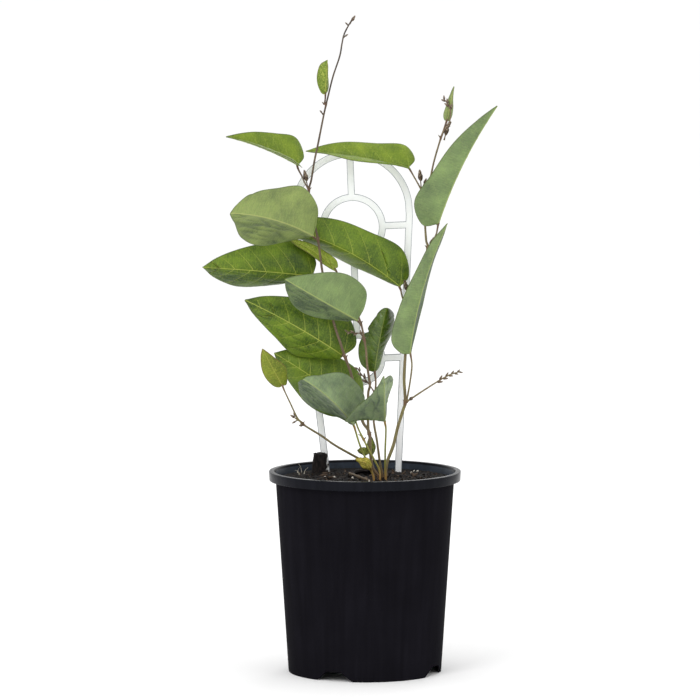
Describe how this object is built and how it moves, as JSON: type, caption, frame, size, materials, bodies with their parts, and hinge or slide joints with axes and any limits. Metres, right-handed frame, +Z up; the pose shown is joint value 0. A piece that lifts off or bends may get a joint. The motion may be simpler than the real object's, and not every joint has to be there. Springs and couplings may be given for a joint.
{
  "type": "potted hardenbergia vine on a trellis",
  "caption": "Young climbing vine with large leathery leaves in a tapered black nursery pot, trained in front of a white arched trellis with rings.",
  "frame": {"origin": "on the ground, under the middle of the whole object's footprint; the pot's own axis stands 14 mm from it towards +X", "axes": "+Z up along the pot's axis, -Y towards the viewer of the picture, +X to the viewer's right"},
  "size_m": [0.2687, 0.175, 0.5975],
  "materials": {
    "black_plastic": "satin black, moulded",
    "potting_soil": "loose dark bark and peat mix with a few white grains",
    "white_plastic": "white, softly glossy, moulded",
    "dark_bark": "rough, nearly black bark",
    "dry_stick": "dry brown wood",
    "vine_stem": "thin brown bark, purplish towards the tips",
    "green_stalk": "smooth olive green stalk",
    "leaf_green": "leathery, bright green above and grey-green below, fine pale veins",
    "leaf_dark": "dark green, waxy",
    "leaf_young": "young olive-yellow leaf",
    "leaf_withered": "withered, pale yellow"
  },
  "bodies": {
    "root": {"pot": "black_plastic", "soil": "potting_soil", "trellis": "white_plastic", "bark_chunk": "dark_bark", "bark_flake": "dark_bark", "stick": "dry_stick", "vine_tall": "vine_stem", "vine_middle": "vine_stem", "vine_right": "vine_stem", "runner_left": "vine_stem", "stalk_back": "green_stalk", "stalk_front": "green_stalk", "stalk_side": "green_stalk", "leaf_top_left": "leaf_green", "leaf_top_centre": "leaf_green", "leaf_big_left": "leaf_green", "leaf_right_middle": "leaf_green", "leaf_far_left": "leaf_green", "leaf_centre": "leaf_green", "leaf_lower_left": "leaf_green", "leaf_low_back": "leaf_green", "leaf_low_front": "leaf_green", "leaf_low_right": "leaf_green", "leaf_upper_right": "leaf_green", "leaf_right": "leaf_green", "leaf_small_dark": "leaf_dark", "leaf_crumpled": "leaf_dark", "leaf_crumpled_low": "leaf_dark", "leaf_runner": "leaf_young", "leaf_narrow": "leaf_young", "leaf_vine_tip": "leaf_young", "leaf_shoot_tip": "leaf_young", "leaf_withered": "leaf_withered"}
  },
  "joints": []
}
